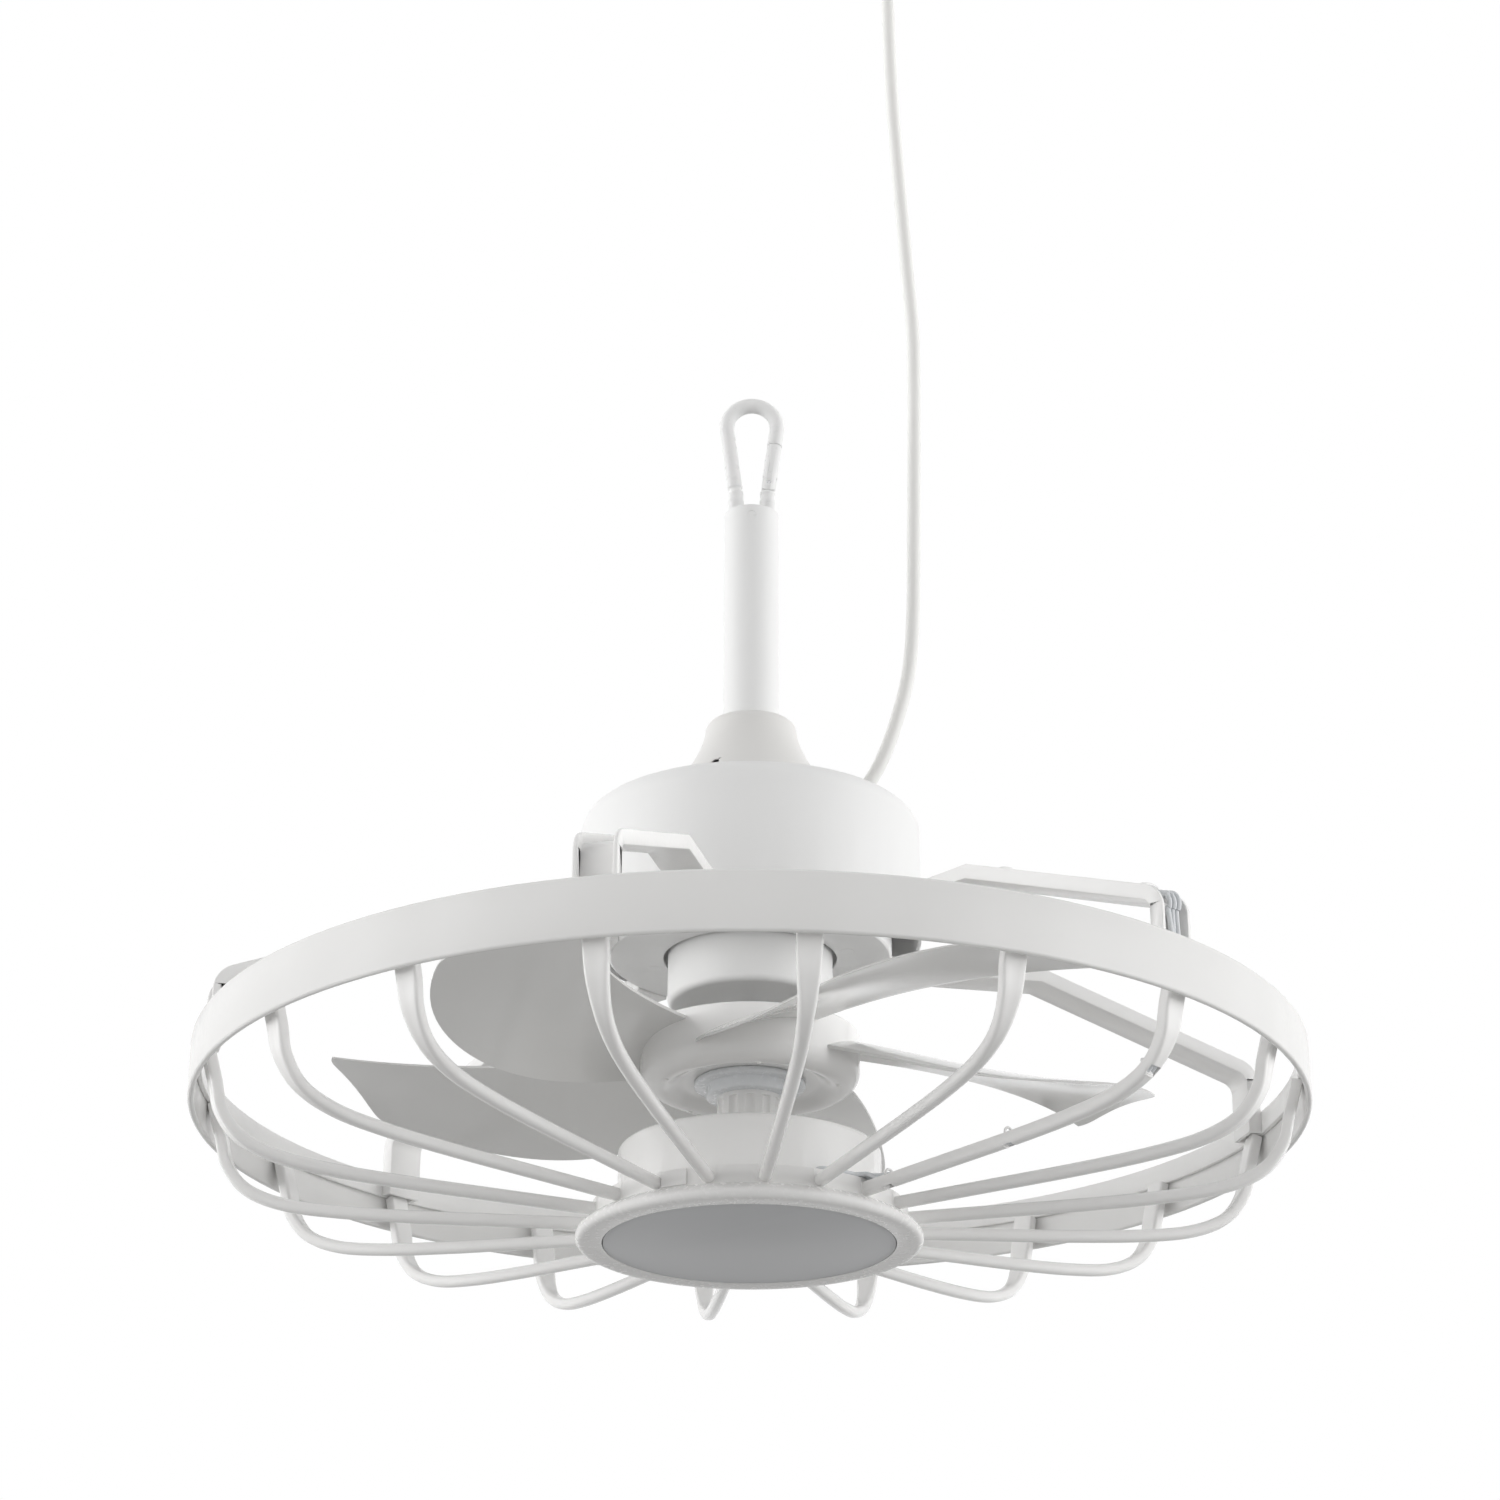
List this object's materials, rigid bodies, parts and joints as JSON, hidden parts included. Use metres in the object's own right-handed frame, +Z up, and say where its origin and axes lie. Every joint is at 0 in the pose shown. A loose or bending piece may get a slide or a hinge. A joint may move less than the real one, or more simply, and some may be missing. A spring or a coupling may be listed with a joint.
{
  "type": "caged ceiling fan with lamp",
  "caption": "White ceiling fan with swept blades in a round open cage, a flat lamp underneath, and a downrod that hangs from a spring hook with a mains cord beside it.",
  "frame": {"origin": "the inside top of the hook's loop, where it rests on the ceiling hook", "axes": "+Z is up along the downrod, and -Y is the side that the viewer faces"},
  "size_m": [0.5099, 0.51, 0.8504],
  "materials": {
    "white_paint": "satin",
    "white_plastic": "gloss",
    "translucent_plastic": "matte",
    "opal_lens": "satin",
    "steel": "satin",
    "cast_metal": "satin",
    "windings": "satin",
    "circuit_board": "matte",
    "lead_sheath": "gloss",
    "white_rubber": "satin"
  },
  "bodies": {
    "hook": {"carabiner": "white_paint", "gate_pin": "steel"},
    "gate": {"gate": "white_paint"},
    "hanger": {"downrod": "white_paint", "hanger_pin": "white_paint", "coupling_yoke": "steel", "clevis_pin": "steel", "housing_shell": "white_paint", "carrier_plate": "steel", "bottom_cover": "white_paint", "fixings": "steel", "motor_can": "white_paint", "motor_end_plate": "cast_metal", "stator": "windings", "bearings": "steel", "control_board": "circuit_board", "cord_gland": "white_rubber", "hoop": "white_plastic", "arm_ring": "white_plastic", "arm_1": "white_plastic", "arm_2": "white_plastic", "arm_3": "white_plastic", "arm_4": "white_plastic", "arm_5": "white_plastic", "arm_6": "white_plastic", "rib_01": "white_plastic", "rib_02": "white_plastic", "rib_03": "white_plastic", "rib_04": "white_plastic", "rib_05": "white_plastic", "rib_06": "white_plastic", "rib_07": "white_plastic", "rib_08": "white_plastic", "rib_09": "white_plastic", "rib_10": "white_plastic", "rib_11": "white_plastic", "rib_12": "white_plastic", "rib_13": "white_plastic", "rib_14": "white_plastic", "rib_15": "white_plastic", "rib_16": "white_plastic", "rib_17": "white_plastic", "rib_18": "white_plastic", "lamp_housing": "white_plastic", "lamp_bezel": "white_plastic", "diffuser": "opal_lens", "led_board": "circuit_board", "lamp_lead": "lead_sheath", "lead_clips": "white_plastic", "power_cord": "white_rubber", "cord_coil": "white_rubber", "cord_tie": "white_plastic", "mains_plug": "white_plastic"},
    "bell": {"bell_cover": "white_paint"},
    "rotor": {"shaft": "steel", "rotor_core": "steel", "impeller": "white_plastic", "drive_pin": "steel", "hub_washer": "translucent_plastic", "lock_nut": "white_plastic"}
  },
  "joints": [
    {"name": "hook_swing", "type": "hinge", "parent": "hook", "child": "hanger", "pos_m": [0, 0, -0.0701], "axis": [1, 0, 0], "range_deg": [-6, 6]},
    {"name": "gate_open", "type": "hinge", "parent": "hook", "child": "gate", "pos_m": [0.00846, 0, -0.04056], "axis": [0, -1, 0], "range_deg": [0, 40], "stiffness_Nm_per_rad": 0.02, "springref_deg": -17.19},
    {"name": "bell_slide", "type": "slide", "parent": "hanger", "child": "bell", "axis": [0, 0, 1], "range_m": [0, 0.095]},
    {"name": "fan_spin", "type": "hinge", "parent": "hanger", "child": "rotor", "pos_m": [0, 0, -0.34], "axis": [0, 0, 1], "continuous": true}
  ]
}
